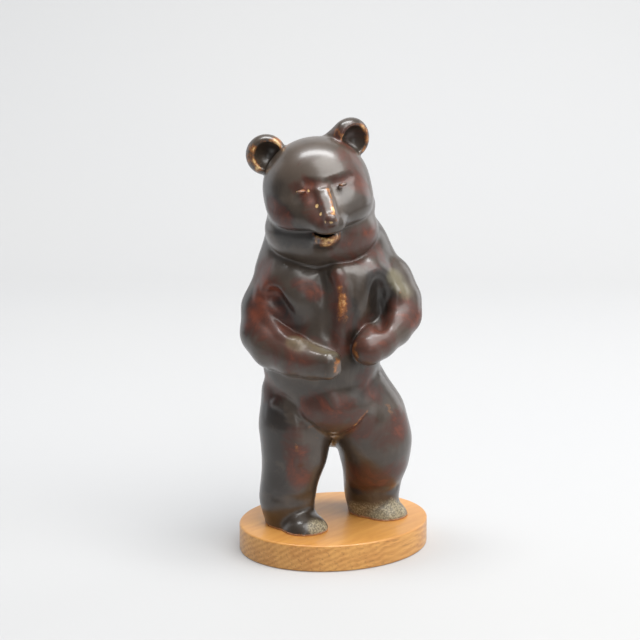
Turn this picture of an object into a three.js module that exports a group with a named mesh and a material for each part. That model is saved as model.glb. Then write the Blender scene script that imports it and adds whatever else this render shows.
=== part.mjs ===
// A glazed stoneware bear that stands upright on an oval oak plate.
// Millimetres, +Z up. The origin is the centre of the plate's underside, the plate's long axis
// lies along X, and the bear looks roughly along -Y.
import * as THREE from "three";

const { abs, hypot, max, min, sign, sqrt } = Math;

// Driving sizes
const bearHeight = 258; // soles to the tip of the higher ear
const plateThickness = 17;
const plateMargin = 16; // oak left free outside the feet at each end of the long axis
const plateSideMargin = 26.7; // the same across the plate
const plateEase = 1.2; // worn round of the plate's edges
const soleGap = 0.2; // bare clay stands a hair above the oak, on its glue
const figureTurn = -27; // degrees from the bear's own frame to the plate's long axis
const gridStep = 2.4; // spacing at which the clay's surface is sampled
const clayTriangles = 8600; // the figure is thinned to this many faces

// The free form is given in hundredths of the bear's height, in the bear's own frame:
// x towards its own left, y towards its back, z up from the soles.
const unit = bearHeight / 100;
const stanceLength = 36; // what the two feet cover along the plate, and across it
const stanceWidth = 20.4;

// Two lumps of clay pressed together: the seam is filled over the width k.
function join(a, b, k) {
  const near = max(k - abs(a - b), 0) / k;
  return min(a, b) - (near * near * near * k) / 6;
}
const carve = (a, b, k) => -join(-a, b, k);
const cutFlat = (a, plane, k) => -join(-a, -plane, k);

// A pose turns the bear's points into a lump's own frame: yaw about z, pitch about x, tilt about y.
function pose(centre, yaw = 0, pitch = 0, tilt = 0) {
  const turn = new THREE.Matrix4().makeRotationZ(THREE.MathUtils.degToRad(yaw));
  turn.multiply(new THREE.Matrix4().makeRotationX(THREE.MathUtils.degToRad(pitch)));
  turn.multiply(new THREE.Matrix4().makeRotationY(THREE.MathUtils.degToRad(tilt)));
  const m = turn.elements;
  return (p) => {
    const x = p[0] - centre[0];
    const y = p[1] - centre[1];
    const z = p[2] - centre[2];
    return [m[0] * x + m[1] * y + m[2] * z, m[4] * x + m[5] * y + m[6] * z, m[8] * x + m[9] * y + m[10] * z];
  };
}

// An egg with centre c and half sizes r.
function egg(p, c, r) {
  const x = (p[0] - c[0]) / r[0];
  const y = (p[1] - c[1]) / r[1];
  const z = (p[2] - c[2]) / r[2];
  const size = hypot(x, y, z);
  const slope = hypot(x / r[0], y / r[1], z / r[2]);
  return slope < 1e-9 ? -min(...r) : (size * (size - 1)) / slope;
}

// A block with half sizes h and edges rounded to r.
function block(p, h, r) {
  const x = abs(p[0]) - h[0] + r;
  const y = abs(p[1]) - h[1] + r;
  const z = abs(p[2]) - h[2] + r;
  return hypot(max(x, 0), max(y, 0), max(z, 0)) + min(max(x, y, z), 0) - r;
}

// A tapering roll of clay between two balls, each [x, y, z, radius].
function roll(p, a, b) {
  const axis = [b[0] - a[0], b[1] - a[1], b[2] - a[2]];
  const from = [p[0] - a[0], p[1] - a[1], p[2] - a[2]];
  const length2 = axis[0] ** 2 + axis[1] ** 2 + axis[2] ** 2;
  const taper = a[3] - b[3];
  const slant2 = length2 - taper * taper;
  const along = from[0] * axis[0] + from[1] * axis[1] + from[2] * axis[2];
  const past = along - length2;
  const off = hypot(...axis.map((v, i) => from[i] * length2 - v * along));
  const side = sign(taper) * taper * taper * off * off;
  if (sign(past) * slant2 * past * past * length2 > side) {
    return sqrt(off * off + past * past * length2) / length2 - b[3];
  }
  if (sign(along) * slant2 * along * along * length2 < side) {
    return sqrt(off * off + along * along * length2) / length2 - a[3];
  }
  return (sqrt((off * off * slant2) / length2) + along * taper) / length2 - a[3];
}

// Rolls joined end to end, as a limb is built up.
function limb(p, balls, k) {
  let d = roll(p, balls[0], balls[1]);
  for (let i = 2; i < balls.length; i++) d = join(d, roll(p, balls[i - 1], balls[i]), k);
  return d;
}

// A soft ridge or crease drawn along a line of points: 1 on it, fading to 0 at the given width.
function stroke(p, line, width) {
  let near = width;
  for (let i = 1; i < line.length; i++) {
    const [a, b] = [line[i - 1], line[i]];
    const axis = a.map((t, n) => b[n] - t);
    const from = a.map((t, n) => p[n] - t);
    const along = from[0] * axis[0] + from[1] * axis[1] + from[2] * axis[2];
    const share = min(max(along / (axis[0] ** 2 + axis[1] ** 2 + axis[2] ** 2), 0), 1);
    const away = hypot(...from.map((t, n) => t - share * axis[n]));
    near = i === 1 ? away : join(near, away, width / 2);
  }
  return max(1 - (near / width) ** 2, 0) ** 2;
}

// The head, in its own frame: nose along -y, the crown up.
const toHead = pose([-4.4, -2.5, 83.3], 11, 10, -9);
const toBridge = pose([0.15, -12.7, 0.8], 0, 35);
const eyeSocket = [[2.8, -11.4, 3.4], [6.2, -10, 3.2]];
const brow = [[1.2, -11.2, 6.2], [7, -9.4, 6.2]];
const browCrease = [[-4.6, -10.8, 4.6], [0.2, -12.4, 4.3], [3.8, -11.2, 4.8], [7, -9.6, 5.8]];
function face(q) {
  const mirrored = [abs(q[0]), q[1], q[2]];
  const cheeks = [abs(q[0] - 0.4), q[1], q[2]];
  const narrowed = [q[0] * 0.8, q[1], q[2]];
  let d = egg(q, [0.5, 2.2, -0.2], [13, 12.3, 11.9]);
  d = join(d, egg(cheeks, [4.2, -1.6, -3.4], [8.5, 9.9, 6.8]), 3);
  d = join(d, roll(narrowed, [0, -6, -2.9, 5.7], [0, -14.2, -4.3, 3.1]), 5);
  const [x, y, z] = toBridge(q);
  d = join(d, block([x * (1.25 - 0.06 * y), y, z + 1.1], [2, 5.9, 2.1], 1), 2);
  d = join(d, egg(q, [0.15, -17.2, -2.4], [1.5, 1.3, 1.4]), 1.4);
  d += 0.6 * stroke(mirrored, eyeSocket, 3.2);
  d -= 0.5 * stroke(mirrored, brow, 2.6);
  d += 0.4 * stroke(q, browCrease, 1.6);
  return cutFlat(d, -7.2 - 0.05 * q[1] - 0.06 * q[0] - q[2], 1.8);
}
function jaw(q) {
  let d = egg(q, [1.4, 1.5, -6], [12.6, 11.4, 7]);
  const lip = [q[0] * 0.75, q[1], q[2] - 0.15 * q[0] - 0.4];
  d = join(d, roll(lip, [-0.3, -6, -10, 4.2], [-0.4, -14.1, -8.2, 1.7]), 4);
  return carve(d, roll(lip, [-0.3, -8.6, -5.7, 3.1], [-0.4, -14.4, -6.8, 1.1]), 0.3);
}

// Each ear is a thick shell hollowed from the front, with a root that runs to the crown.
const ears = [
  {
    toEar: pose([-16.6, 0.9, 90.9], -8, 0, -38),
    hollow: [0.8, -2.5, -0.9],
    root: [[-12, 2, 88, 3], [-15, 2, 90, 2.6]],
  },
  {
    toEar: pose([4.7, 1.7, 94.9], 40, 0, 24),
    hollow: [-0.6, -2.5, -0.8],
    root: [[-2, 2.4, 92.6, 2.6], [2.4, 2.4, 95.8, 2.9]],
  },
];
function ear(p, { toEar, hollow, root }) {
  const q = toEar(p);
  const shell = join(egg(q, [0, 1, 0], [5, 3.3, 4.9]), roll(p, ...root), 2);
  return carve(shell, egg(q, hollow, [3.6, 4.4, 3.9]), 1.1);
}
function head(p) {
  const q = toHead(p);
  const rest = join(face(q), jaw(q), 0.7 + 0.6 * max(q[1], 0));
  return ears.reduce((d, one) => join(d, ear(p, one), 1.2), rest);
}

// Trunk: chest, back, belly and rump, the two chest plates, and a stub of a tail. The ridge down
// the breastbone, the valley beside it and the crease under the belly are strokes.
const breastbone = [[0.2, -10, 64.4], [2.2, -10.9, 60.5], [2, -11.4, 54], [1.6, -9.4, 45]];
const breastValley = [[-2.6, -9.6, 62], [-1, -10.2, 57], [-0.8, -10.8, 50]];
const bellyCrease = [
  [-6.2, -10.3, 27.2],
  [-3.9, -9.6, 24.6],
  [-0.9, -8.6, 23.2],
  [2.7, -8.2, 23.3],
  [5.1, -8.6, 24.9],
  [7.4, -9.1, 28.4],
];
function trunk(p) {
  let d = egg(p, [-2.4, 2, 54], [14.6, 11.5, 14]);
  d = join(d, egg(p, [-2.6, 5.5, 61.5], [14.5, 9.2, 10]), 5);
  d = join(d, egg(p, [-3.1, -0.2, 40.5], [14.4, 12.8, 14]), 5);
  d = join(d, egg(p, [-0.4, -1.2, 31], [12.6, 12.2, 8.8]), 3);
  d = join(d, egg(p, [-0.4, 5.5, 29], [14.6, 10, 12]), 5);
  d = join(d, egg(p, [-9, -1.8, 58], [9.6, 8.4, 9.6]), 3.4);
  d = join(d, egg(p, [7, -1.8, 58.6], [7.6, 7.6, 9.4]), 4);
  d = join(d, roll(p, [1.2, -5.8, 62.5, 4], [1.8, -6.4, 51, 5]), 4);
  d += 0.5 * stroke(p, breastValley, 3) - 0.8 * stroke(p, breastbone, 2.8);
  d += 0.6 * stroke(p, bellyCrease, 2.2);
  return join(d, egg(p, [0.6, 14.4, 25.5], [2.6, 2.2, 3.4]), 3);
}
function neck(p) {
  const ruff = egg(p, [-3.1, -0.2, 73.2], [13.7, 11.5, 9.8]);
  return join(ruff, egg(p, [0.2, 5.5, 68], [12.6, 8.5, 10]), 3);
}
function shoulders(p) {
  const right = roll(p, [-7, 4.6, 73, 8.8], [-12.4, 3.2, 62, 6.8]);
  const left = limb(p, [[1, 5.6, 70.6, 9], [9.4, 4.4, 62.2, 6.8], [13.4, 2.2, 59, 6.2]], 1);
  return join(right, left, 6);
}

// The bear's own right arm lies across the belly, and the left one is bent at its side.
const toRightPaw = pose([-3.2, -13.4, 42.7], -32);
const rightArmBalls = [
  [-12.8, 2.6, 61, 6.6],
  [-16.2, 0.4, 53.5, 6.2],
  [-16.8, -2.4, 48, 5.8],
  [-14.6, -5.6, 45.5, 5.5],
  [-9.8, -9.8, 44, 4.8],
  [-5.5, -12.2, 42.9, 3.8],
];
const rightArmEdge = [
  [-17.4, -4, 59.2],
  [-17.2, -5.2, 56.2],
  [-15.4, -6.6, 53],
  [-11.9, -10.1, 49.8],
  [-8.6, -12.6, 48.4],
];
function rightArm(p) {
  const d = join(limb(p, rightArmBalls, 2.5), block(toRightPaw(p), [5, 3.2, 3.5], 2.6), 2.5);
  return d - 0.8 * stroke(p, rightArmEdge, 2.8);
}
const leftArmBalls = [
  [12.8, 2.8, 60, 6.4],
  [15.2, 0.8, 55.4, 5.9],
  [16.1, -1.4, 52.2, 5],
  [14.2, -5, 49.8, 4.5],
  [10.6, -9, 47.6, 4.4],
  [8.2, -11.8, 46, 4],
];
const leftArmEdge = [
  [9.6, -4.6, 66.6],
  [12.2, -5.2, 64],
  [13.9, -5, 61.5],
  [14.9, -4.7, 58.5],
  [14.2, -4.8, 55.2],
];
const leftArm = (p) => limb(p, leftArmBalls, 2) - stroke(p, leftArmEdge, 2.4);

// Legs: rows of balls, each with a foot that points a little to the bear's left.
const footTurn = 31;
const rightLeg = {
  toFoot: pose([-9.4, -5, 0], footTurn),
  footWidth: 6.1,
  ankle: [[-14, -9.6, 8.4], [-10.5, -10.2, 7.8], [-6.2, -8.6, 7.6]],
  balls: [
    [-9.2, 0.5, 32, 8.9],
    [-9.3, -1.4, 24.5, 8.8],
    [-9.7, -2.8, 17.5, 7.6],
    [-11, -3.8, 11, 6.4],
    [-11.6, -3.8, 6.5, 6.3],
    [-11.2, -3.6, 1.5, 6],
  ],
};
const leftLeg = {
  toFoot: pose([10.7, 6.4, 0], footTurn),
  footWidth: 5.9,
  ankle: [[5.2, -1.2, 8.2], [10, -2.4, 7.9], [15.4, 0.4, 7.8]],
  balls: [
    [4.8, 1.5, 33, 8.9],
    [8.2, 1.4, 26, 9.2],
    [10.1, 1.8, 20, 8.8],
    [10.3, 3, 15, 7.9],
    [9.7, 4.8, 9, 6.6],
    [9.6, 5.3, 5, 6.2],
    [9.9, 5.3, 1.5, 6.1],
  ],
};
function foot(q, width) {
  const heel = egg(q, [0, 1, -0.6], [width, 8.2, 6.6]);
  return join(heel, egg(q, [0, -5, -0.8], [width - 0.3, 5.2, 4.7]), 2);
}
function leg(p, { toFoot, footWidth, ankle, balls }) {
  const slimmed = limb(p, balls, 4) + 0.15;
  return join(slimmed, foot(toFoot(p), footWidth), 1.8) + 0.25 * stroke(p, ankle, 2);
}

// The whole figure as one field: below zero inside the clay, and cut flat under the soles.
// Each part is worked out only at the heights that it can reach, and seams are wider at the back.
const rightHollow = [[-14.7, -8.2, 57.6, 2.6], [-9.9, -11.5, 51.4, 2]];
const rightHipFold = [[-14.6, -7, 33], [-12.4, -8.4, 32.8], [-9.4, -10.4, 31.4], [-8, -10.6, 28.8]];
const leftHipFold = [[10.6, -4.4, 38], [9.4, -6.4, 36.8], [7.4, -9.6, 33.6]];
function clay(x, y, z) {
  const p = [x, y, z];
  let d = trunk(p);
  if (z < 46) {
    d = join(join(d, leg(p, rightLeg), 1.6), leg(p, leftLeg), 1.6);
    d += 0.3 * stroke(p, rightHipFold, 1.8) + 0.3 * stroke(p, leftHipFold, 2);
  }
  if (z > 34) {
    const backSoftness = 0.6 * max(y, 0);
    d = join(d, shoulders(p), 4 + backSoftness);
    d = join(d, neck(p), 1 + backSoftness);
    d = join(join(d, rightArm(p), 0.9), leftArm(p), 0.9);
    d = carve(d, roll(p, ...rightHollow), 2.6);
    d = carve(d, egg(p, [11, -9.2, 56.4], [2.3, 5, 6.6]), 4.5);
  }
  if (z > 60) d = join(d, head(p), 1.5 + 0.5 * max(y, 0));
  return max(d, -z);
}

// Samples the field on a grid. Each cell that the surface crosses gets a point for each lump of
// its inside corners, and the four cells around a crossed grid edge give two triangles, so the
// skin is closed and two sheets that share a cell stay apart.
function skin(field, low, high, step) {
  const count = low.map((v, i) => Math.ceil((high[i] - v) / step) + 1);
  const stride = [1, count[0], count[0] * count[1]];
  const value = new Float64Array(count[0] * count[1] * count[2]);
  const eachNode = (first, visit) => {
    for (let k = first; k < count[2] - first; k++) {
      for (let j = first; j < count[1] - first; j++) {
        for (let i = first; i < count[0] - first; i++) visit(i + j * stride[1] + k * stride[2], [i, j, k]);
      }
    }
  };
  eachNode(0, (node, at) => (value[node] = field(...at.map((n, axis) => low[axis] + n * step))));

  const corners = [0, 1, 2, 3, 4, 5, 6, 7].map((c) => [c & 1, (c >> 1) & 1, c >> 2]);
  const edges = corners.flatMap((_, c) => [1, 2, 4].filter((bit) => !(c & bit)).map((bit) => [c, c | bit]));
  const points = [];
  const cellPoints = new Map();
  eachNode(0, (node, at) => {
    if (at.some((n, axis) => n > count[axis] - 2)) return;
    const v = corners.map((c) => value[node + c[0] * stride[0] + c[1] * stride[1] + c[2] * stride[2]]);
    const crossed = edges.filter(([a, b]) => v[a] < 0 !== v[b] < 0);
    if (!crossed.length) return;
    const lump = v.map((t, c) => (t < 0 ? c : -1));
    for (let pass = 0; pass < 4; pass++) {
      for (const [a, b] of edges) {
        if (lump[a] >= 0 && lump[b] >= 0) lump[a] = lump[b] = min(lump[a], lump[b]);
      }
    }
    const pointOf = {};
    for (const name of new Set(lump.filter((c) => c >= 0))) {
      const own = crossed.filter(([a, b]) => max(lump[a], lump[b]) === name);
      const mean = [0, 0, 0];
      for (const [a, b] of own) {
        const t = v[a] / (v[a] - v[b]);
        for (let n = 0; n < 3; n++) {
          mean[n] += (corners[a][n] + t * (corners[b][n] - corners[a][n])) / own.length;
        }
      }
      pointOf[name] = points.push(mean.map((m, n) => low[n] + (at[n] + m) * step)) - 1;
    }
    cellPoints.set(node, lump.map((name) => pointOf[name]));
  });

  const faces = [];
  const around = [[1, 1], [0, 1], [0, 0], [1, 0]];
  eachNode(1, (node) => {
    const inside = value[node] < 0;
    for (let n = 0; n < 3; n++) {
      if (inside === value[node + stride[n]] < 0) continue;
      const u = (n + 1) % 3;
      const w = (n + 2) % 3;
      const ring = around.map(([a, b]) => {
        const corner = (a << u) | (b << w) | (inside ? 0 : 1 << n);
        return cellPoints.get(node - a * stride[u] - b * stride[w])[corner];
      });
      if (!inside) ring.reverse();
      faces.push([ring[0], ring[1], ring[2]], [ring[0], ring[2], ring[3]]);
    }
  });
  return { points, faces };
}

// Unit normal and doubled area of a triangle.
function facing(a, b, c) {
  const u = [b[0] - a[0], b[1] - a[1], b[2] - a[2]];
  const v = [c[0] - a[0], c[1] - a[1], c[2] - a[2]];
  const n = [u[1] * v[2] - u[2] * v[1], u[2] * v[0] - u[0] * v[2], u[0] * v[1] - u[1] * v[0]];
  const area = hypot(...n) || 1e-12;
  return { normal: n.map((t) => t / area), area };
}

// Thins a closed skin by drawing edges together, those first that move the surface least.
// Each point carries the sum of its faces' planes as the ten numbers of a symmetric matrix.
function thin({ points, faces }, wanted) {
  const planes = points.map(() => new Float64Array(10));
  const around = points.map(() => new Set());
  faces.forEach((f, index) => {
    const { normal, area } = facing(...f.map((i) => points[i]));
    const a = points[f[0]];
    const h = [...normal, -(normal[0] * a[0] + normal[1] * a[1] + normal[2] * a[2])];
    for (const i of f) {
      around[i].add(index);
      let n = 0;
      for (let r = 0; r < 4; r++) for (let c = r; c < 4; c++) planes[i][n++] += area * h[r] * h[c];
    }
  });
  const errorAt = (q, [x, y, z]) =>
    q[0] * x * x + 2 * q[1] * x * y + 2 * q[2] * x * z + 2 * q[3] * x + q[4] * y * y +
    2 * q[5] * y * z + 2 * q[6] * y + q[7] * z * z + 2 * q[8] * z + q[9];
  const changed = new Uint32Array(points.length);
  const heap = [];
  const swap = (i, j) => ([heap[i], heap[j]] = [heap[j], heap[i]]);
  function push(item) {
    let i = heap.push(item) - 1;
    for (let up = (i - 1) >> 1; i > 0 && heap[up].cost > heap[i].cost; up = (i - 1) >> 1) {
      swap(i, up);
      i = up;
    }
  }
  function pop() {
    swap(0, heap.length - 1);
    const top = heap.pop();
    for (let i = 0; ; ) {
      let least = i;
      for (const child of [2 * i + 1, 2 * i + 2]) {
        if (child < heap.length && heap[child].cost < heap[least].cost) least = child;
      }
      if (least === i) return top;
      swap(i, least);
      i = least;
    }
  }
  function offer(u, v) {
    const both = planes[u].map((q, i) => q + planes[v][i]);
    const middle = points[u].map((t, i) => (t + points[v][i]) / 2);
    const places = [middle, points[u], points[v]].map((at) => ({ at, cost: errorAt(both, at) }));
    const best = places.reduce((a, b) => (b.cost < a.cost ? b : a));
    const length = hypot(...points[u].map((t, i) => t - points[v][i]));
    push({ u, v, at: best.at, both, cost: best.cost + 1e-4 * length ** 3, when: changed[u] + changed[v] });
  }
  const neighbours = (i) => new Set([...around[i]].flatMap((f) => faces[f]).filter((n) => n !== i));
  const keepsFacing = (i, other, at) =>
    [...around[i]].every((f) => {
      if (faces[f].includes(other)) return true;
      const before = facing(...faces[f].map((n) => points[n]));
      const after = facing(...faces[f].map((n) => (n === i ? at : points[n])));
      const agree = before.normal.reduce((sum, t, n) => sum + t * after.normal[n], 0);
      return agree > 0.5 && after.area > 1e-3;
    });
  for (const f of faces) for (let n = 0; n < 3; n++) if (f[n] < f[(n + 1) % 3]) offer(f[n], f[(n + 1) % 3]);
  let left = faces.length;
  while (left > wanted && heap.length) {
    const { u, v, at, both, when } = pop();
    if (!around[u].size || !around[v].size || when !== changed[u] + changed[v]) continue;
    const near = neighbours(v);
    if ([...neighbours(u)].filter((n) => near.has(n)).length !== 2) continue;
    if (!keepsFacing(u, v, at) || !keepsFacing(v, u, at)) continue;
    for (const f of [...around[v]]) {
      if (faces[f].includes(u)) {
        for (const n of faces[f]) around[n].delete(f);
        faces[f] = null;
        left -= 1;
      } else {
        faces[f] = faces[f].map((n) => (n === v ? u : n));
        around[u].add(f);
      }
    }
    around[v].clear();
    points[u] = at;
    planes[u] = both;
    changed[u] += 1;
    changed[v] += 1;
    for (const n of neighbours(u)) offer(u, n);
  }
  return { points, faces: faces.filter(Boolean) };
}

// The bear: sampled, ground flat under the soles, and thinned. The grid has no layer at the
// height of the soles but one half a step to each side, so the points between them are the sole.
function bearGeometry() {
  const low = [-26 * unit, -26 * unit, -1.5 * gridStep];
  const high = [25 * unit, 21 * unit, 103 * unit];
  const surface = skin((x, y, z) => clay(x / unit, y / unit, z / unit) * unit, low, high, gridStep);
  for (const point of surface.points) if (point[2] < gridStep / 2) point[2] = 0;
  const { points, faces } = thin(surface, clayTriangles);
  const geometry = new THREE.BufferGeometry();
  geometry.setAttribute("position", new THREE.Float32BufferAttribute(points.flat(), 3));
  geometry.setIndex(faces.flat());
  geometry.computeVertexNormals();
  return geometry;
}

// The oak plate: an oval slice with its edges eased.
const plateLength = stanceLength * unit + 2 * plateMargin;
const plateWidth = stanceWidth * unit + 2 * plateSideMargin;
function plateGeometry() {
  const outline = new THREE.Shape();
  outline.absellipse(0, 0, plateLength / 2, plateWidth / 2, 0, 2 * Math.PI);
  const geometry = new THREE.ExtrudeGeometry(outline, {
    depth: plateThickness - 2 * plateEase,
    bevelThickness: plateEase,
    bevelSize: plateEase,
    bevelOffset: -plateEase,
    bevelSegments: 2,
    curveSegments: 48,
  });
  geometry.translate(0, 0, plateEase);
  return geometry;
}

function named(name, geometry, colour, roughness) {
  const material = new THREE.MeshStandardMaterial({ color: colour, roughness, metalness: 0 });
  const mesh = new THREE.Mesh(geometry, material);
  mesh.name = name;
  return mesh;
}

const oakPlate = named("oak_base", plateGeometry(), "#d6a367", 0.45);
const bear = named("bear", bearGeometry(), "#4f423d", 0.2);
bear.position.z = plateThickness + soleGap;
bear.rotation.z = THREE.MathUtils.degToRad(figureTurn);

const figurine = new THREE.Group();
figurine.add(oakPlate, bear);
export default figurine;
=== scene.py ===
# %% [markdown]
# # A glazed stoneware bear on an oval oak plate
# The real thing is a figure of dark stoneware under a glossy iron glaze, set on an oval of oak.
# This lesson models the clay as one smooth field, turns the field into a fine mesh, and builds
# both finishes from nodes. Everything is in metres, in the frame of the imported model.

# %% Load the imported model
import math
import bpy
import numpy as np
from mathutils import Matrix, Vector


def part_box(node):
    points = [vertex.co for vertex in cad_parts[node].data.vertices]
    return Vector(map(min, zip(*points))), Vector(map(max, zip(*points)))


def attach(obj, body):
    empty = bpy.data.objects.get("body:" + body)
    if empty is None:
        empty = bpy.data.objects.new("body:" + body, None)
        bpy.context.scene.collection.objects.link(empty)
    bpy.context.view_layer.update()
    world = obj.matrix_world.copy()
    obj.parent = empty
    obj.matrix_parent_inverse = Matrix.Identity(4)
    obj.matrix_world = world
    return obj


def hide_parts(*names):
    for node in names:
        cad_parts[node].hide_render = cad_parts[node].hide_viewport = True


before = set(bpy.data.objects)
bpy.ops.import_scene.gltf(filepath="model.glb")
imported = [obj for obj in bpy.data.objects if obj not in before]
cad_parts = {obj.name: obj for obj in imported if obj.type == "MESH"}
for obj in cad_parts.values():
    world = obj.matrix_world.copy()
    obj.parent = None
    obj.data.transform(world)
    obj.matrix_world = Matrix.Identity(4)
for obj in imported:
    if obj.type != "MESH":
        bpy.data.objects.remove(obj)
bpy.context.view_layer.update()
print("pieces in the frame:", sorted(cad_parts))

# %% [markdown]
# ## Sizes
# The figure's free form is written in hundredths of its own height, in the bear's own frame:
# x to the right as seen from the front, y to its back, z up from the soles. The plate keeps the
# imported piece's box, so both pieces stay where the frame has them.

# %% Sizes and the bear's own frame
BEAR_HEIGHT = 0.258
UNIT = BEAR_HEIGHT / 100
FIGURE_TURN = math.radians(-27)
plate_low, plate_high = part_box("oak_base")
SOLE_GAP = 0.0002
SOLE_HEIGHT = plate_high.z + SOLE_GAP
figure_to_world = Matrix.Translation((0, 0, SOLE_HEIGHT)) @ Matrix.Rotation(FIGURE_TURN, 4, "Z")
plate_length = plate_high.x - plate_low.x
print("one unit is", round(UNIT * 1000, 2), "mm, the plate is", round(plate_length * 1000, 1), "mm long")

# %% [markdown]
# ## Camera
# A long lens a little over a metre away, looking down a little. Its place was found by fitting
# the two ellipses of the plate, so the same numbers give the photograph's framing.

# %% Camera
CAMERA_DISTANCE = 1.1
CAMERA_RISE = math.radians(19.5)
CAMERA_PITCH = math.radians(11.953)
CAMERA_YAW = math.radians(0.4917)
camera_data = bpy.data.cameras.new("camera")
camera_data.sensor_width = 36
camera_data.lens = 94.39
camera = bpy.data.objects.new("camera", camera_data)
bpy.context.collection.objects.link(camera)
back = Vector((0, -CAMERA_DISTANCE * math.cos(CAMERA_RISE), CAMERA_DISTANCE * math.sin(CAMERA_RISE)))
camera.location = Matrix.Rotation(FIGURE_TURN, 3, "Z") @ back
camera.rotation_euler = (math.pi / 2 - CAMERA_PITCH, 0, CAMERA_YAW + FIGURE_TURN)
bpy.context.scene.camera = camera
print("camera at", [round(v, 3) for v in camera.location])

# %% [markdown]
# ## Clay as a field
# A sculptor presses lumps of clay together and smooths the seams. A signed distance field does
# the same: each lump is a function that is negative inside, and a smooth minimum joins two of
# them with a fillet of a chosen width. Box modelling could make the body too, but it would need
# hundreds of hand-placed points, where the lumps need a place and a size each.
#
# In the code, `p` holds the x, y and z of many points at once, `q` the same points in the frame
# of one lump, `d` their distance from the clay so far, and `k` the width of a fillet.

# %% Joining and cutting lumps
def join(a, b, k):
    """Both lumps, with a fillet in the seam."""
    near = np.maximum(k - np.abs(a - b), 0) / k
    return np.minimum(a, b) - near ** 3 * k / 6


def carve(a, b, k):
    """What is left of lump a when lump b is taken out of it."""
    return -join(-a, b, k)


def cut_flat(a, plane, k):
    """The part of a lump where the plane's own distance is negative."""
    return -join(-a, -plane, k)


# %% Lumps: egg, block and tapering roll
def length(*parts):
    return np.sqrt(sum(part * part for part in parts))


def egg(p, centre, radii):
    x, y, z = [(p[i] - centre[i]) / radii[i] for i in range(3)]
    size = length(x, y, z)
    steepness = np.maximum(length(x / radii[0], y / radii[1], z / radii[2]), 1e-9)
    return size * (size - 1) / steepness


def block(p, half_size, rounding):
    x, y, z = [np.abs(p[i]) - half_size[i] + rounding for i in range(3)]
    outside = length(np.maximum(x, 0), np.maximum(y, 0), np.maximum(z, 0))
    return outside + np.minimum(np.maximum(np.maximum(x, y), z), 0) - rounding


def roll(p, a, b):
    """A tapering roll between two balls, each written as x, y, z and radius."""
    axis = [b[i] - a[i] for i in range(3)]
    start = [p[i] - a[i] for i in range(3)]
    length_squared = sum(v * v for v in axis)
    taper = a[3] - b[3]
    slant_squared = length_squared - taper * taper
    along = sum(start[i] * axis[i] for i in range(3))
    past = along - length_squared
    off_squared = sum((start[i] * length_squared - axis[i] * along) ** 2 for i in range(3))
    side = math.copysign(1, taper) * taper * taper * off_squared
    at_end = np.sqrt(off_squared + past * past * length_squared) / length_squared - b[3]
    at_start = np.sqrt(off_squared + along * along * length_squared) / length_squared - a[3]
    across = np.sqrt(off_squared * slant_squared / length_squared)
    between = (across + along * taper) / length_squared - a[3]
    past_end = np.sign(past) * slant_squared * past * past * length_squared > side
    before_start = np.sign(along) * slant_squared * along * along * length_squared < side
    return np.where(past_end, at_end, np.where(before_start, at_start, between))


def limb(p, balls, k):
    d = roll(p, balls[0], balls[1])
    for a, b in zip(balls[1:], balls[2:]):
        d = join(d, roll(p, a, b), k)
    return d


# %% A lump's own frame
def pose(centre, yaw=0, pitch=0, tilt=0):
    """A function that turns the figure's points into the frame of one lump; angles in degrees."""
    turn = Matrix.Rotation(math.radians(yaw), 3, "Z")
    turn = turn @ Matrix.Rotation(math.radians(pitch), 3, "X")
    turn = turn @ Matrix.Rotation(math.radians(tilt), 3, "Y")

    def local(p):
        off = [p[i] - centre[i] for i in range(3)]
        return [sum(turn[i][j] * off[i] for i in range(3)) for j in range(3)]

    return local


# %% Strokes: soft ridges and creases drawn along a line
def stroke(p, line, width):
    """How close each point is to a line of points: 1 on it, fading to 0 at the given width."""
    near = None
    for a, b in zip(line, line[1:]):
        axis = [b[i] - a[i] for i in range(3)]
        start = [p[i] - a[i] for i in range(3)]
        share = sum(start[i] * axis[i] for i in range(3)) / sum(v * v for v in axis)
        share = np.clip(share, 0, 1)
        away = length(*(start[i] - share * axis[i] for i in range(3)))
        near = away if near is None else join(near, away, width / 2)
    return np.maximum(1 - (near / width) ** 2, 0) ** 2


# %% [markdown]
# ## Head
# The head leans to one side and looks down past the camera. The lumps of the face and the jaw
# are given in the head's own frame, nose along -y. The ears, and the crease across the root of
# the nose, are given in the figure's frame, so they stay where they are if that frame is tilted.
#
# The face is, in order: skull, cheeks, muzzle, bridge of the nose, nose, eye sockets, brow, the
# crease in the brow, eyelids, and the flat roof of the mouth. The jaw is a chin and a lower lip,
# with the mouth carved out of it.

# %% Face and lower jaw
to_head = pose([-4.4, -2.5, 83.3], 11, 10, -9)
to_bridge = pose([0.15, -12.7, 0.8], 0, 35)
SOCKET = [[2.8, -11.4, 3.4], [6.2, -10.0, 3.2]]
BROW = [[1.2, -11.2, 6.2], [7.0, -9.4, 6.2]]
NOSE_ROOT = [[-6.6, -12.2, 85.8], [-3.3, -13, 85.7], [-0.5, -11.8, 85.8],
             [1.8, -10.5, 86.3], [3.7, -9.2, 87.1]]
BROW_CREASE = [[-4.6, -10.8, 4.6], [0.2, -12.4, 4.3], [3.8, -11.2, 4.8], [7, -9.6, 5.8]]


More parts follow.
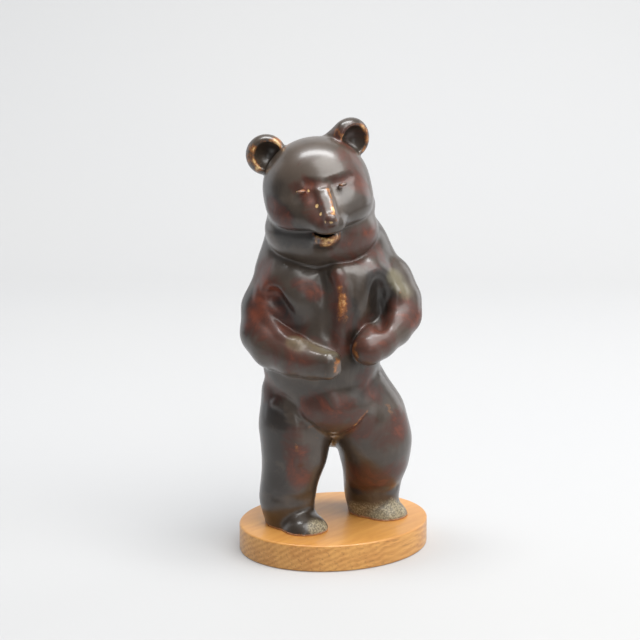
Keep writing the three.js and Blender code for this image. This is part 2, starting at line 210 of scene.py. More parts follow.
def face(q):
    mirrored = [np.abs(q[0]), q[1], q[2]]
    cheeks = [np.abs(q[0] - 0.4), q[1], q[2]]
    narrowed = [q[0] * 0.8, q[1], q[2]]
    d = egg(q, [0.5, 2.2, -0.2], [13.0, 12.3, 11.9])
    d = join(d, egg(cheeks, [4.2, -1.6, -3.4], [8.5, 9.9, 6.8]), 3)
    d = join(d, roll(narrowed, [0, -6, -2.9, 5.7], [0, -14.2, -4.3, 3.1]), 5)
    x, y, z = to_bridge(q)
    d = join(d, block([x * (1.25 - 0.06 * y), y, z + 1.1], [2.0, 5.9, 2.1], 1.0), 2)
    d = join(d, egg(q, [0.15, -17.2, -2.4], [1.5, 1.3, 1.4]), 1.4)
    d = d + 0.6 * stroke(mirrored, SOCKET, 3.2)
    d = d - 0.5 * stroke(mirrored, BROW, 2.6)
    d = d + 0.4 * stroke(q, BROW_CREASE, 1.6)
    d = join(d, egg(mirrored, [4.9, -9.9, 3.2], [1.3, 0.8, 0.45]), 0.5)
    return cut_flat(d, -7.2 - 0.05 * q[1] - 0.06 * q[0] - q[2], 1.8)


def jaw(q):
    d = egg(q, [1.4, 1.5, -6], [12.6, 11.4, 7])
    lip = [q[0] * 0.75, q[1], q[2] - 0.15 * q[0] - 0.4]
    d = join(d, roll(lip, [-0.3, -6, -10, 4.2], [-0.4, -14.1, -8.2, 1.7]), 4)
    return carve(d, roll(lip, [-0.3, -8.6, -5.7, 3.1], [-0.4, -14.4, -6.8, 1.1]), 0.3)


# %% Ears, each a thick shell hollowed from the front, with a root that runs to the crown
EARS = [
    {"place": pose([-16.6, 0.9, 90.9], -8, 0, -38), "hollow": (0.8, -0.9),
     "root": [[-12, 2, 88, 3], [-15, 2, 90, 2.6]]},
    {"place": pose([4.7, 1.7, 94.9], 40, 0, 24), "hollow": (-0.6, -0.8),
     "root": [[-2, 2.4, 92.6, 2.6], [2.4, 2.4, 95.8, 2.9]]},
]


def ear(p, one):
    q = one["place"](p)
    side, low = one["hollow"]
    shell = join(egg(q, [0, 1.0, 0], [5.0, 3.3, 4.9]), roll(p, *one["root"]), 2)
    return carve(shell, egg(q, [side, -2.5, low], [3.6, 4.4, 3.9]), 1.1)


def head(p):
    q = to_head(p)
    d = join(face(q), jaw(q), 0.7 + 0.6 * np.maximum(q[1], 0))
    for one in EARS:
        d = join(d, ear(p, one), 1.2)
    return d + 0.6 * stroke(p, NOSE_ROOT, 1.6)


# %% [markdown]
# ## Trunk and neck
# Chest, back, belly and rump are large eggs with wide seams, because the real surface has no
# edge there. The ridge down the breastbone, the valley beside it and the crease under the belly
# are strokes, drawn as a modelling tool would draw them in wet clay.
#
# The trunk is, in order: chest, upper back, waist, belly, rump, the two sides of the breast, the
# roll under the breastbone, and a short tail behind.

# %% Trunk, neck and shoulders
BREASTBONE = [[0.2, -10, 64.4], [2.2, -10.9, 60.5], [2.0, -11.4, 54], [1.6, -9.4, 45]]
BREAST_VALLEY = [[-2.6, -9.6, 62], [-1.0, -10.2, 57], [-0.8, -10.8, 50]]
BELLY_CREASE = [[-6.2, -10.3, 27.2], [-3.9, -9.6, 24.6], [-0.9, -8.6, 23.2],
                [2.7, -8.2, 23.3], [5.1, -8.6, 24.9], [7.4, -9.1, 28.4]]


def trunk(p):
    d = egg(p, [-2.4, 2, 54], [14.6, 11.5, 14])
    d = join(d, egg(p, [-2.6, 5.5, 61.5], [14.5, 9.2, 10]), 5)
    d = join(d, egg(p, [-3.1, -0.2, 40.5], [14.4, 12.8, 14]), 5)
    d = join(d, egg(p, [-0.4, -1.2, 31], [12.6, 12.2, 8.8]), 3)
    d = join(d, egg(p, [-0.4, 5.5, 29], [14.6, 10, 12]), 5)
    d = join(d, egg(p, [-9.0, -1.8, 58], [9.6, 8.4, 9.6]), 3.4)
    d = join(d, egg(p, [7.0, -1.8, 58.6], [7.6, 7.6, 9.4]), 4)
    d = join(d, roll(p, [1.2, -5.8, 62.5, 4.0], [1.8, -6.4, 51, 5.0]), 4)
    d = d + 0.5 * stroke(p, BREAST_VALLEY, 3) - 0.8 * stroke(p, BREASTBONE, 2.8)
    d = d + 0.6 * stroke(p, BELLY_CREASE, 2.2)
    return join(d, egg(p, [0.6, 14.4, 25.5], [2.6, 2.2, 3.4]), 3)


def neck(p):
    ruff = egg(p, [-3.1, -0.2, 73.2], [13.7, 11.5, 9.8])
    return join(ruff, egg(p, [0.2, 5.5, 68], [12.6, 8.5, 10]), 3)


def shoulders(p):
    right = roll(p, [-7, 4.6, 73, 8.8], [-12.4, 3.2, 62, 6.8])
    left = limb(p, [[1, 5.6, 70.6, 9.0], [9.4, 4.4, 62.2, 6.8], [13.4, 2.2, 59, 6.2]], 1)
    return join(right, left, 6)


# %% [markdown]
# ## Limbs
# Each arm and leg is a row of balls joined by tapering rolls. The right arm ends in a rounded
# block for its paw, and the feet are cut flat by the plane of the soles. The edges of the arms,
# the ridge down the right thigh and the folds at the hips and ankles are strokes again.

# %% Arms
to_right_paw = pose([-3.2, -13.4, 42.7], -32)
RIGHT_ARM = [[-12.8, 2.6, 61, 6.6], [-16.2, 0.4, 53.5, 6.2], [-16.8, -2.4, 48, 5.8],
             [-14.6, -5.6, 45.5, 5.5], [-9.8, -9.8, 44, 4.8], [-5.5, -12.2, 42.9, 3.8]]
RIGHT_ARM_EDGE = [[-17.4, -4.0, 59.2], [-17.2, -5.2, 56.2], [-15.4, -6.6, 53.0],
                  [-11.9, -10.1, 49.8], [-8.6, -12.6, 48.4]]
LEFT_ARM = [[12.8, 2.8, 60, 6.4], [15.2, 0.8, 55.4, 5.9], [16.1, -1.4, 52.2, 5],
            [14.2, -5, 49.8, 4.5], [10.6, -9, 47.6, 4.4], [8.2, -11.8, 46, 4.0]]
LEFT_ARM_EDGE = [[9.6, -4.6, 66.6], [12.2, -5.2, 64], [13.9, -5, 61.5],
                 [14.9, -4.7, 58.5], [14.2, -4.8, 55.2]]


def right_arm(p):
    d = join(limb(p, RIGHT_ARM, 2.5), block(to_right_paw(p), [5.0, 3.2, 3.5], 2.6), 2.5)
    return d - 0.8 * stroke(p, RIGHT_ARM_EDGE, 2.8)


def left_arm(p):
    return limb(p, LEFT_ARM, 2) - stroke(p, LEFT_ARM_EDGE, 2.4)


# %% Legs and feet
FOOT_TURN = 31
to_feet = [pose([-9.4, -5, 0], FOOT_TURN), pose([10.7, 6.4, 0], FOOT_TURN)]
RIGHT_FOOT_WIDTH = 6.1
LEFT_FOOT_WIDTH = 5.9
RIGHT_LEG = [[-9.2, 0.5, 32, 8.9], [-9.3, -1.4, 24.5, 8.8], [-9.7, -2.8, 17.5, 7.6],
             [-11, -3.8, 11, 6.4], [-11.6, -3.8, 6.5, 6.3], [-11.2, -3.6, 1.5, 6]]
LEFT_LEG = [[4.8, 1.5, 33, 8.9], [8.2, 1.4, 26, 9.2], [10.1, 1.8, 20, 8.8], [10.3, 3, 15, 7.9],
            [9.7, 4.8, 9, 6.6], [9.6, 5.3, 5, 6.2], [9.9, 5.3, 1.5, 6.1]]
RIGHT_ANKLE = [[-14, -9.6, 8.4], [-10.5, -10.2, 7.8], [-6.2, -8.6, 7.6]]
LEFT_ANKLE = [[5.2, -1.2, 8.2], [10, -2.4, 7.9], [15.4, 0.4, 7.8]]


def foot(q, width):
    heel = egg(q, [0, 1, -0.6], [width, 8.2, 6.6])
    toes = egg(q, [0, -5.0, -0.8], [width - 0.3, 5.2, 4.7])
    return join(heel, toes, 2)


def leg(p, balls, to_foot, foot_width, ankle):
    slimmed = limb(p, balls, 4) + 0.15
    return join(slimmed, foot(to_foot(p), foot_width), 1.8) + 0.25 * stroke(p, ankle, 2)


# %% The whole figure
RIGHT_HOLLOW = [[-14.7, -8.2, 57.6, 2.6], [-9.9, -11.5, 51.4, 2.0]]
LEFT_HOLLOW = [[11.0, -9.2, 56.4], [2.3, 5, 6.6]]
THIGH_RIDGE = [[-14.1, -7.3, 31.7], [-12.1, -8.5, 31.2], [-10.4, -9.5, 29.8],
               [-9.2, -10.4, 27.1], [-8.9, -10.7, 22.4], [-8.4, -10.8, 18.1]]
RIGHT_HIP_FOLD = [[-14.6, -7, 33], [-12.4, -8.4, 32.8], [-9.4, -10.4, 31.4], [-8, -10.6, 28.8]]
LEFT_HIP_FOLD = [[10.6, -4.4, 38], [9.4, -6.4, 36.8], [7.4, -9.6, 33.6]]


def clay(p):
    back_softness = 0.6 * np.maximum(p[1], 0)
    d = join(trunk(p), leg(p, RIGHT_LEG, to_feet[0], RIGHT_FOOT_WIDTH, RIGHT_ANKLE), 1.6)
    d = join(d, leg(p, LEFT_LEG, to_feet[1], LEFT_FOOT_WIDTH, LEFT_ANKLE), 1.6)
    d = d + 0.3 * stroke(p, RIGHT_HIP_FOLD, 1.8) + 0.3 * stroke(p, LEFT_HIP_FOLD, 2)
    d = d - 0.55 * stroke(p, THIGH_RIDGE, 2.2)
    d = join(d, shoulders(p), 4 + back_softness)
    d = join(d, neck(p), 1 + back_softness)
    d = join(join(d, right_arm(p), 0.9), left_arm(p), 0.9)
    d = carve(d, roll(p, *RIGHT_HOLLOW), 2.6)
    d = carve(d, egg(p, *LEFT_HOLLOW), 4.5)
    d = join(d, head(p), 1.5 + 0.5 * np.maximum(p[1], 0))
    return np.maximum(d, -p[2])


# %% [markdown]
# ## From field to mesh
# A surface net puts one point in each grid cell that the surface crosses, and joins the four
# cells around each crossed grid edge with a quad. Only the cells near the surface are worked
# out finely: a coarse pass first finds where those are. Each point then slides along the
# field's slope until it lies on the surface, so the mesh is smooth and the seams stay crisp.

# %% Sample the field where the surface is
STEP = 0.46  # grid spacing, in units
COARSE = 8  # fine steps in one coarse step
GRID_LOW = np.array([-26.0, -26.0, -1.5 * STEP])
GRID_BLOCKS = np.array([14, 13, 29])
NEAR_SHARE = 1.15  # a block is worked out finely if its middle is nearer than this many block sizes


def fine_grid(blocks):
    """Each block's value, given to all the fine grid points of that block."""
    return blocks.repeat(COARSE, 0).repeat(COARSE, 1).repeat(COARSE, 2)


def sample(field):
    block_size = STEP * COARSE
    middles = [GRID_LOW[i] + (np.arange(GRID_BLOCKS[i]) + 0.5) * block_size for i in range(3)]
    near = field([m.ravel() for m in np.meshgrid(*middles, indexing="ij")]).reshape(GRID_BLOCKS)
    value = fine_grid(np.sign(near)).astype(np.float32)
    wanted = fine_grid(np.abs(near) < NEAR_SHARE * block_size)
    index = np.argwhere(wanted)
    points = GRID_LOW + index * STEP
    value[wanted] = field([points[:, i] for i in range(3)])
    print("fine samples:", len(index), "of", value.size)
    return value


# %% Surface net: a point in each crossed cell
def window(start, size):
    """The slices that cut a part of the given size out of a grid."""
    return tuple(slice(start[i], start[i] + size[i]) for i in range(3))


def net_points(value):
    """The points, and each cell's point number, which is -1 where there is none."""
    inside = value < 0
    size = tuple(n - 1 for n in value.shape)
    total = np.zeros(size + (3,), np.float32)
    hits = np.zeros(size, np.float32)
    for axis in range(3):
        others = [i for i in range(3) if i != axis]
        for side in range(4):
            start = [0, 0, 0]
            start[others[0]] = side & 1
            start[others[1]] = side >> 1
            a = window(start, size)
            start[axis] = 1
            b = window(start, size)
            crossed = inside[a] != inside[b]
            share = value[a][crossed] / (value[a][crossed] - value[b][crossed])
            at = np.zeros((len(share), 3), np.float32)
            at[:, others[0]] = side & 1
            at[:, others[1]] = side >> 1
            at[:, axis] = share
            total[crossed] += at
            hits[crossed] += 1
    number = np.full(size, -1, np.int64)
    used = hits > 0
    number[used] = np.arange(used.sum())
    points = GRID_LOW + (np.argwhere(used) + total[used] / hits[used][:, None]) * STEP
    return points, number


# %% Surface net: a quad around each crossed grid edge
def net_quads(inside, number):
    faces = []
    for axis in range(3):
        u = (axis + 1) % 3
        w = (axis + 2) % 3
        ahead = [0, 0, 0]
        ahead[axis] = 1
        crossed = inside[window((0, 0, 0), number.shape)] != inside[window(ahead, number.shape)]
        at = np.argwhere(crossed)
        at = at[(at > 0).all(axis=1)]
        ring = []
        for du, dw in ((1, 1), (0, 1), (0, 0), (1, 0)):
            corner = at.copy()
            corner[:, u] -= du
            corner[:, w] -= dw
            ring.append(number[tuple(corner.T)])
        quads = np.stack(ring, 1)
        outward = inside[tuple(at.T)]
        faces.append(np.where(outward[:, None], quads, quads[:, ::-1]))
    return np.concatenate(faces)


# %% Slide the points onto the surface
SLIDES = 2
LONGEST_SLIDE = 0.3
LEAST_GRADE = 0.25
SLOPE_REACH = 0.02


def slope(points, reach):
    columns = []
    for axis in range(3):
        shift = np.zeros(3)
        shift[axis] = reach
        columns.append(clay((points + shift).T) - clay((points - shift).T))
    return np.stack(columns, 1) / (2 * reach)


grid = sample(clay)
points, number = net_points(grid)
quads = net_quads(grid < 0, number)
on_sole = points[:, 2] < STEP / 2
points[on_sole, 2] = 0
for slide in range(SLIDES):
    grade = slope(points, SLOPE_REACH)
    move = clay(points.T)[:, None] * grade / np.maximum((grade ** 2).sum(1), LEAST_GRADE)[:, None]
    points[~on_sole] -= np.clip(move, -LONGEST_SLIDE, LONGEST_SLIDE)[~on_sole]
print("bear mesh:", len(points), "points,", 2 * len(quads), "triangles")

# %% Bear piece
bear_mesh = bpy.data.meshes.new("glazed_bear")
bear_mesh.from_pydata((points * UNIT).tolist(), [], quads.tolist())
bear_mesh.transform(figure_to_world)
bear_mesh.shade_smooth()
bear = bpy.data.objects.new("glazed_bear", bear_mesh)
bpy.context.collection.objects.link(bear)
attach(bear, "root")
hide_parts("bear")


# %% [markdown]
# ## Where the glaze runs thin, and painted highlights on the crests
# A glossy glaze pools in hollows and draws back from sharp edges, where the iron under it
# shows golden. The gold that the shader lays on sharp edges is partly that, and partly painted
# highlight where crests catch the light. How sharp an edge is can be read from the field: around
# a ridge the field grows faster than straight. The result is kept as an attribute of the mesh
# that the shader reads.
# The fold between the legs is left out, because the glaze stays thick and dark there.

# %% Sharpness of each point
REACH = 0.7
LEG_FOLD = [[0, -2.8, 20.9], [0, 2.1, 17.7]]
LEG_FOLD_WIDTH = 5
DEEPEST = -1
SHARPEST = 1.8
bend = -6 * clay(points.T)
for axis in range(3):
    shift = np.zeros(3)
    shift[axis] = REACH
    bend += clay((points + shift).T) + clay((points - shift).T)
bend /= REACH ** 2
bend[on_sole] = 0
print("sharpness from", round(float(bend.min()), 2), "to", round(float(bend.max()), 2))


def keep(name, values):
    layer = bear_mesh.attributes.new(name, "FLOAT", "POINT")
    layer.data.foreach_set("value", np.asarray(values, np.float32))


outside_fold = 1 - stroke(points.T, LEG_FOLD, LEG_FOLD_WIDTH)
keep("sharp", np.clip(bend, DEEPEST, SHARPEST) * outside_fold)

# %% [markdown]
# Some places on this bear have their own colour: rust-red where the glaze reached full heat,
# olive where it pooled pale, gold on the ridges where the glaze is worn thin, and speckled cream
# on the toes. Other places are painted light and shade: near black is painted shade in the
# hollows, under the chin and beside the limbs, part of the gold is painted highlight on crests,
# and tiny pale dots on the left eye and along the muzzle are painted glints. Each is a line in
# the bear's frame with a width. The shader frays the borders of most with noise.

# %% Named colour places
RUST = [
    ([[-17, -2, 62.6], [-14.6, -6.4, 59.6]], 3.6), ([[-8.1, -9.6, 61.4], [-4.9, -9.4, 59.4]], 2.0),
    ([[-17.3, -7, 52.5], [-12.4, -11, 49.5], [-8.4, -14.4, 46]], 5),
    ([[18.8, -5, 53.1], [13.3, -10.2, 51.5], [7.3, -14.4, 47.6]], 4.4),
    ([[3.7, -6.7, 90.6], [6.1, -7.2, 86.8]], 3.4),
    ([[-8, -12.2, 84.5], [-5.2, -13.6, 82.4], [-3.8, -16, 79.5], [-2.4, -18, 78]], 2.6),
    (NOSE_ROOT, 1.3), ([[2.5, 0, 94.5], [6, 0.5, 96.5]], 3),
    ([[3.7, -9.9, 71.3], [9.1, -4.3, 69.2]], 4.4),
    ([[0.8, -10.8, 62], [1.8, -11.6, 54], [1.4, -11.4, 46]], 2.4),
    ([[-3.8, -12.9, 30.8], [1, -12.7, 28.6], [5.1, -9.3, 26.5]], 4.6),
    ([[12.5, -7.4, 21.7], [16.7, -3.9, 25.3]], 3.6),
    ([[4, -1.9, 11.9], [9.4, -4.5, 11.2], [14.4, -3.9, 12]], 4.2),
    ([[-10.1, -10.7, 23.1], [-8.2, -10.5, 14.5]], 2.8), ([[-16.6, -4, 36], [-14, -6, 33]], 3),
    ([[-15.2, -7.6, 80], [-12.3, -11.4, 76.5]], 2.6), ([[7.7, -8.3, 38.5], [9.5, -7, 34]], 3),
    ([[10, 12, 58], [2, 15, 50]], 5), ([[-10, 12, 34], [-4, 15, 30]], 5), ([[-8, 12, 80], [0, 13, 74]], 5),
]
OLIVE = [
    ([[-6.2, -12.8, 47.2], [-1, -14.9, 46]], 1.8), ([[14.6, -4, 62], [17.1, -4.1, 58.9]], 2.0),
    ([[-9.6, -13, 48], [-8, -13.6, 47.4]], 1.8),
]
# Painted shade: near-black marks in the hollows between the arms and the chest, under the chin and jaw,
# and beside the limbs, where shade falls.
PAINTED_SHADE = [
    ([[-16.4, -6, 30.5], [-14.6, -9.2, 23.4], [-15, -8, 12]], 4.4),
    ([[-14, -6.6, 57], [-10.4, -9, 51.6]], 3.0),
    ([[11, -7, 62], [11, -5, 54]], 3.4), ([[-12, -9, 73.6], [-4, -13, 73.4], [2, -13, 74]], 3.0),
    ([[-15, -8, 80], [-12, -10, 77]], 3.4), ([[-20, -2, 56], [-19, -5, 49]], 3.2),
    ([[6, 0, 6], [14, 2, 6]], 4.2), ([[4, -11.8, 56], [4, -11, 48]], 2.8),
]
# Gold: partly glaze worn thin on the ridges, ears and lower lip, and partly painted highlight, such as the
# small dots on the hip, the shin and the belly crease and the glitter down the breastbone.
GOLD_AND_HIGHLIGHTS = [
    ([[1.6, -11.2, 60], [1.9, -11.8, 53.5]], 1.1),
    ([[-1.2, -13.3, 84.3], [-0.5, -15.5, 82.3], [-0.3, -18.3, 79.9]], 0.8),
    ([[-5.5, -9.9, 26.5], [-3.9, -9.1, 24.7]], 1.3), ([[5.6, -10.3, 27.1], [7.3, -9.6, 29.2]], 1.3),
    ([[-3.8, -14.2, 73.2], [-1.4, -16.2, 72.1], [0.9, -13.7, 73.6]], 2.2),
    ([[4.4, -13.8, 47], [4.9, -13.8, 44.6]], 1.5), ([[0.9, -16.4, 43.8], [0.4, -16.4, 41.8]], 1.1),
    ([[13.2, -5.8, 30.6], [13.6, -5.6, 29.4]], 0.9), ([[-8.9, -10.8, 21.2], [-8.9, -10.8, 20.6]], 0.7),
    ([[-12.6, -0.6, 94.2], [-12, 0.6, 91.6]], 2.2), ([[-20.6, -0.6, 92], [-18.4, -1, 87.6]], 2.0),
    ([[8.4, 0.6, 97.6], [7.4, 0.4, 92.8]], 2.2), ([[0.6, 0.4, 95.6], [1.8, -0.6, 93]], 1.6),
]
# Painted glints: tiny pale highlight dots on the left eye and along the ridge of the nose.
PAINTED_GLINTS = [
    ([[-8.6, -12.1, 83.7], [-8.1, -12.2, 83.8]], 0.3), ([[-6.2, -12.6, 84], [-6, -12.6, 84]], 0.25),
    ([[-4, -15.1, 80.9], [-4, -15.1, 80.7]], 0.4), ([[-3.1, -16.9, 79.3], [-3.1, -16.9, 79.1]], 0.35),
    ([[-2.1, -19.3, 77.8], [-2.1, -19.3, 77.6]], 0.3), ([[-0.7, -19.9, 77.7], [-0.7, -19.9, 77.5]], 0.3),
]
TOES = [
    ([[-3.4, -12.6, 1.6], [-1.4, -11.4, 1.0]], 2.6),
    ([[4.6, 3.0, 0.2], [6.4, 0, 0.6], [11.5, -2.8, 1.2], [16.8, 0.4, 1.6]], 3.0),
]


# %% Attributes for the colour places
FADE_WIDTH = 1.6  # how far a place reaches out, as a share of its width


def coverage(places):
    """1 on the places' lines, fading to 0 a little outside of their widths."""
    total = np.zeros(len(points))
    for line, width in places:
        total = np.maximum(total, np.sqrt(stroke(points.T, line, FADE_WIDTH * width)))
    return total


colour_places = {"rust": RUST, "olive": OLIVE, "dark": PAINTED_SHADE, "gold": GOLD_AND_HIGHLIGHTS, "glint": PAINTED_GLINTS, "toes": TOES}
for name, places in colour_places.items():
    keep(name, coverage(places))
keep("height", points[:, 2])
print("colour places:", {name: len(places) for name, places in colour_places.items()})


# %% [markdown]
# ## Shader maths as Python
# Node trees are easier to read as expressions. This class wraps one socket and overloads the
# operators, so `0.5 + 0.2 * noise` adds the Math nodes that it names.

# %% Socket wrapper
MIX_INPUTS = (0, 6, 7)  # the Mix node's factor and its two colours, by their places
MIX_OUTPUT = 2


class Value:
    def __init__(self, tree, socket):
        self.tree = tree
        self.socket = socket

    def node(self, kind, settings=None, **sockets):
        made = self.tree.nodes.new(kind)
        for key, setting in (settings or {}).items():
            setattr(made, key, setting)
        for key, item in sockets.items():
            put(self.tree, made.inputs[key.replace("_", " ")], item)
        return made

    def maths(self, operation, *items):
        made = self.node("ShaderNodeMath", {"operation": operation})
        for place, item in enumerate(items):
            put(self.tree, made.inputs[place], item)
        return Value(self.tree, made.outputs[0])

    def __add__(self, other):
        return self.maths("ADD", self, other)

    def __sub__(self, other):
        return self.maths("SUBTRACT", self, other)

    def __rsub__(self, other):
        return self.maths("SUBTRACT", other, self)

    def __mul__(self, other):
        return self.maths("MULTIPLY", self, other)

    __radd__ = __add__
    __rmul__ = __mul__

    def between(self, low, high):
        made = self.node("ShaderNodeMapRange", {"interpolation_type": "SMOOTHSTEP"},
                         Value=self, From_Min=low, From_Max=high)
        return Value(self.tree, made.outputs[0])

    def noise(self, scale, detail=2.0, roughness=0.5, distortion=0.0):
        made = self.node("ShaderNodeTexNoise", None, Vector=self, Scale=scale, Detail=detail,
                         Roughness=roughness, Distortion=distortion)
        return Value(self.tree, made.outputs[0])

    def stretched(self, scale, turn=(0, 0, 0)):
        made = self.node("ShaderNodeMapping", None, Vector=self, Scale=scale, Rotation=turn)
        return Value(self.tree, made.outputs[0])

    def mixed(self, first, second):
        made = self.node("ShaderNodeMix", {"data_type": "RGBA"})
        for place, item in zip(MIX_INPUTS, (self, first, second)):
            put(self.tree, made.inputs[place], item)
        return Value(self.tree, made.outputs[MIX_OUTPUT])

    def bump(self, strength, distance, normal=None):
        made = self.node("ShaderNodeBump", None, Height=self, Strength=strength, Distance=distance)
        if normal:
            put(self.tree, made.inputs["Normal"], normal)
        return Value(self.tree, made.outputs[0])


def put(tree, socket, item):
    if isinstance(item, Value):
        tree.links.new(item.socket, socket)
    elif isinstance(item, tuple) and len(item) == 3 and socket.type == "RGBA":
        socket.default_value = (*item, 1)
    else:
        socket.default_value = item


# %% New material with its position and attributes
def new_material(name):
    material = bpy.data.materials.new(name)
    material.use_nodes = True
    tree = material.node_tree
    shader = tree.nodes["Principled BSDF"]
    start = Value(tree, None)
    place = Value(tree, start.node("ShaderNodeTexCoord").outputs["Object"])
    return material, tree, shader, place


def attribute(start, name):
    made = start.node("ShaderNodeAttribute", {"attribute_name": name})
    return Value(start.tree, made.outputs["Fac"])


def colour(code):
    """A colour written as it looks on screen, turned into the linear light that shaders use."""
    parts = [int(code[i:i + 2], 16) / 255 for i in (0, 2, 4)]
    return tuple(c / 12.92 if c <= 0.04045 else ((c + 0.055) / 1.055) ** 2.4 for c in parts)


# %% [markdown]
# ## Iron glaze
# The ground colour drifts between umber and warm grey. Painted shade, rust and olive come on
# top where their places are, and gold on the ridges, partly worn glaze and partly painted
# highlight. A clear coat carries the gloss, so the colour under it can stay duller, as in a
# real glaze.

# %% Ground colours of the glaze
glaze, tree, shader, place = new_material("iron_glaze")
cloud = place.noise(24, 4, 0.55, 0.6)
fray = place.noise(55, 5, 0.62, 0.8)
fine = place.noise(240, 3, 0.6)
speck = place.noise(900, 2, 0.6)
brush = place.stretched((1, 1, 0.35)).noise(90, 4, 0.6, 1.2)


def place_mask(name, spread, low, high):
    return (attribute(place, name) + (fray - 0.5) * spread).between(low, high)


def frayed(name, low, high):
    return (attribute(place, name) * (fray * 2.6 - 0.3)).between(low, high)


ground = cloud.between(0.36, 0.64).mixed(colour("33291f"), colour("4e4238"))
ground = (brush.between(0.5, 0.72) * 0.5).mixed(ground, colour("50453b"))
# Painted shade: near black where the painted-shade places are.
ground = (place_mask("dark", 2.2, 0.3, 0.9) * 0.75).mixed(ground, colour("1b1613"))
ground = (place_mask("rust", 2.8, 0.3, 1.0) * 0.8).mixed(ground, colour("4e2619"))
ground = (place_mask("rust", 4.0, 0.9, 1.8) * 0.75).mixed(ground, colour("7a3a22"))
ground = (frayed("olive", 0.1, 1.3) * 0.6).mixed(ground, colour("7a7256"))

# %% Gold edges with painted highlights, painted glints, speckled toes and the bare line of clay at the soles
# Gold on sharp edges and gold places, in an orange and a pale tone: partly worn glaze, partly painted
# highlight.
edge = attribute(place, "sharp") * 0.4 + attribute(place, "gold") * 0.9 + (fine - 0.5) * 2.6
ground = (edge.between(0.6, 1.5) * 0.85).mixed(ground, colour("a9682f"))
ground = (edge.between(1.2, 1.8) * 0.9).mixed(ground, colour("efcb8a"))
# Painted glints: pale highlight dots on the left eye and the muzzle.
ground = (attribute(place, "glint").between(0.3, 0.8) * 0.85).mixed(ground, colour("e6bf80"))
pale = speck.between(0.36, 0.68).mixed(colour("6a6049"), colour("a89c80"))
worn = frayed("toes", 0.3, 0.9)
ground = worn.mixed(ground, pale)
sole_line = 1 - (attribute(place, "height") + (fray - 0.5) * 0.5).between(0.25, 0.5)
ground = sole_line.mixed(ground, colour("c9a288"))
put(tree, shader.inputs["Base Color"], ground)

# %% Gloss of the glaze
baked = place_mask("rust", 1.2, 0.3, 1.1)
put(tree, shader.inputs["Roughness"], 0.4 + 0.2 * worn + 0.35 * sole_line + 0.1 * baked)
put(tree, shader.inputs["Coat Weight"], 0.62 - 0.4 * worn - 0.2 * sole_line - 0.35 * baked)
shader.inputs["Coat Roughness"].default_value = 0.2
shader.inputs["Coat IOR"].default_value = 1.5
ripples = place.noise(38, 2, 0.5).bump(0.25, 0.0016)
put(tree, shader.inputs["Normal"], (brush + 0.4 * fine).bump(0.1, 0.0005, ripples))
bear_mesh.materials.append(glaze)

# %% [markdown]
# ## Oak plate
# The plate is an oval with eased edges. Its outline is worked out here with many more steps than
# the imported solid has, from the same box, so that no facets show along its rim.

# %% Oak plate piece
EASE = 0.0012
EASE_STEPS = 6
RIM_STEPS = 240


def plate_profile():
    """Distance inside the widest outline, and height, from the underside's rim to the top's."""
    rows = []
    for i in range(EASE_STEPS + 1):
        angle = math.pi / 2 * i / EASE_STEPS
        rows.append((EASE * (1 - math.sin(angle)), EASE * (1 - math.cos(angle))))
    top = [(inset, plate_high.z - height) for inset, height in reversed(rows)]
    return rows + top


def plate_mesh():
    verts = []
    for inset, height in plate_profile():
        half_length = plate_high.x - inset
        half_width = plate_high.y - inset
        for i in range(RIM_STEPS):
            angle = 2 * math.pi * i / RIM_STEPS
            verts.append((half_length * math.cos(angle), half_width * math.sin(angle), height))
    rows = len(verts) // RIM_STEPS
    faces = []
    for row in range(rows - 1):
        for i in range(RIM_STEPS):
            j = (i + 1) % RIM_STEPS
            a = row * RIM_STEPS
            faces.append((a + i, a + j, a + RIM_STEPS + j, a + RIM_STEPS + i))
    faces.append(tuple(reversed(range(RIM_STEPS))))
    faces.append(tuple(range((rows - 1) * RIM_STEPS, rows * RIM_STEPS)))
    mesh = bpy.data.meshes.new("oak_plate")
    mesh.from_pydata(verts, [], faces)
    mesh.shade_smooth()
    mesh.set_sharp_from_angle(angle=math.radians(30))
    return mesh


plate = bpy.data.objects.new("oak_plate", plate_mesh())
bpy.context.collection.objects.link(plate)
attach(plate, "root")
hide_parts("oak_base")

# %% [markdown]
# Oak shows growth rings, short dark pores drawn out along the grain, and paler flecks. All three
# come from noise that is stretched along one direction, as if the plate were sawn from a plank
# that lies askew.

# %% Oak material
TOP_FROM = 0.0155  # the strong grain of the rim fades between these two heights
TOP_AT = 0.0168
oak, tree, shader, place = new_material("satin_oak")
plank = place.stretched((1, 1, 1), (math.radians(28), math.radians(12), math.radians(-20)))
along = plank.stretched((3, 30, 30))
wander = along.noise(3, 3, 0.5)
rings = plank.node("ShaderNodeTexWave", {"wave_type": "BANDS", "bands_direction": "Z"}, Vector=plank,
                   Scale=95.0, Distortion=7.0, Detail=4.0, Detail_Scale=0.5)
ring = Value(tree, rings.outputs[1])
pores = plank.stretched((70, 800, 800)).noise(1.0, 2, 0.6)
height = Value(tree, place.node("ShaderNodeSeparateXYZ", None, Vector=place).outputs["Z"])
side = 1 - height.between(TOP_FROM, TOP_AT)
streak = plank.stretched((40, 420, 420)).noise(1.0, 3, 0.6)
grain = ring * (0.05 + 0.12 * side) + (streak - 0.5) * (0.05 + 0.45 * side)
tone = (wander * 0.5 + grain).between(0.05, 0.6)
wood = tone.mixed(colour("bb7d38"), colour("dca356"))
wood = (pores.between(0.56, 0.7) * (0.1 + 0.45 * side)).mixed(wood, colour("96602c"))
put(tree, shader.inputs["Base Color"], wood)
put(tree, shader.inputs["Roughness"], 0.42 + 0.1 * wander)
shader.inputs["Coat Weight"].default_value = 0.4
shader.inputs["Coat Roughness"].default_value = 0.16
put(tree, shader.inputs["Normal"], pores.bump(0.12, 0.0003))
plate.data.materials.append(oak)

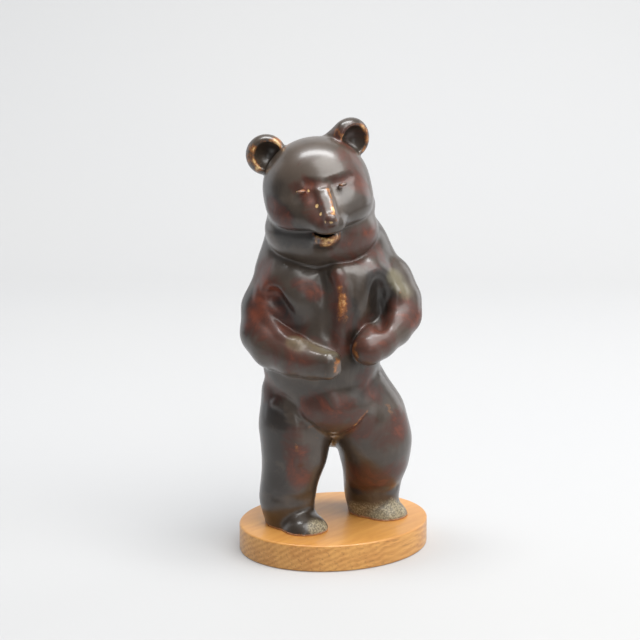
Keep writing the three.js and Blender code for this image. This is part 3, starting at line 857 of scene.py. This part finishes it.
# %% [markdown]
# ## Studio
# The figure stands on a sheet of white paper that curves up behind it, so there is no horizon.
# One wide soft light hangs above and in front, which gives the broad pale highlights on the
# crown and the arms. A second washes the paper behind, and a narrow strip stands in front. A
# light on either side behind it and a wide window on the right draw the figure's edges. The
# dim room keeps the glaze dark between its highlights.

# %% Paper sweep
SWEEP_HALF_WIDTH = 1.0
SWEEP_FRONT = -0.5
SWEEP_BACK = 0.9
SWEEP_RADIUS = 0.5
SWEEP_HEIGHT = 2.0
SWEEP_STEPS = 24


def sweep_profile():
    """Depth and height of the paper, from its front edge to the top of the wall."""
    rows = [(SWEEP_FRONT, 0), (SWEEP_BACK, 0)]
    for i in range(1, SWEEP_STEPS + 1):
        angle = math.pi / 2 * i / SWEEP_STEPS
        rows.append((SWEEP_BACK + SWEEP_RADIUS * math.sin(angle), SWEEP_RADIUS * (1 - math.cos(angle))))
    rows.append((SWEEP_BACK + SWEEP_RADIUS, SWEEP_HEIGHT))
    return rows


rows = sweep_profile()
sweep_mesh = bpy.data.meshes.new("paper_sweep")
verts = [(side * SWEEP_HALF_WIDTH, depth, height) for depth, height in rows for side in (-1, 1)]
faces = [(2 * i, 2 * i + 1, 2 * i + 3, 2 * i + 2) for i in range(len(rows) - 1)]
sweep_mesh.from_pydata(verts, [], faces)
sweep_mesh.transform(Matrix.Rotation(FIGURE_TURN, 4, "Z"))
sweep_mesh.shade_smooth()
sweep = bpy.data.objects.new("paper_sweep", sweep_mesh)
bpy.context.collection.objects.link(sweep)
paper, tree, shader, place = new_material("white_paper")
put(tree, shader.inputs["Base Color"], place.noise(1.2).mixed(colour("adadae"), colour("afaeac")))
shader.inputs["Roughness"].default_value = 0.8
shader.inputs["Emission Color"].default_value = (*colour("e8ecf2"), 1)
shader.inputs["Emission Strength"].default_value = 0.09
sweep_mesh.materials.append(paper)

# %% Sky and lights
scene = bpy.context.scene
scene.view_settings.view_transform = "Standard"
sky = bpy.data.worlds.new("dim_room")
sky.use_nodes = True
background = sky.node_tree.nodes["Background"]
background.inputs["Color"].default_value = (*colour("dfe6ee"), 1)
background.inputs["Strength"].default_value = 0.22
scene.world = sky


BEAR_MIDDLE = (0, 0, 0.13)


def soft_light(name, place, aim, size, watts, tint):
    data = bpy.data.lights.new(name, "AREA")
    data.shape = "RECTANGLE"
    data.size, data.size_y = size
    data.energy = watts
    data.color = tint
    lamp = bpy.data.objects.new(name, data)
    lamp.location = Matrix.Rotation(FIGURE_TURN, 3, "Z") @ Vector(place)
    aim_at = Matrix.Rotation(FIGURE_TURN, 3, "Z") @ Vector(aim)
    lamp.rotation_euler = (aim_at - lamp.location).to_track_quat("-Z", "Y").to_euler()
    bpy.context.collection.objects.link(lamp)


soft_light("above", (0.6, -0.6, 1.45), (0, 0.2, 0.1), (1.4, 1.2), 27, (1, 0.99, 0.97))
soft_light("wall_wash", (0, 0.1, 2.0), (0, 1.3, 0.3), (1.6, 0.5), 48, (0.98, 0.99, 1))
soft_light("tall_strip", (0.35, -1.6, 0.55), BEAR_MIDDLE, (0.22, 1.0), 1.8, (1, 1, 1))
soft_light("left_rim", (-1.2, 0.75, 0.6), BEAR_MIDDLE, (0.9, 1.2), 3, (0.97, 0.98, 1))
soft_light("right_rim", (1.2, 0.85, 0.6), BEAR_MIDDLE, (0.7, 1.2), 5, (0.97, 0.98, 1))
soft_light("right_window", (1.7, -0.5, 0.9), BEAR_MIDDLE, (1.6, 1.8), 7, (0.98, 0.99, 1))
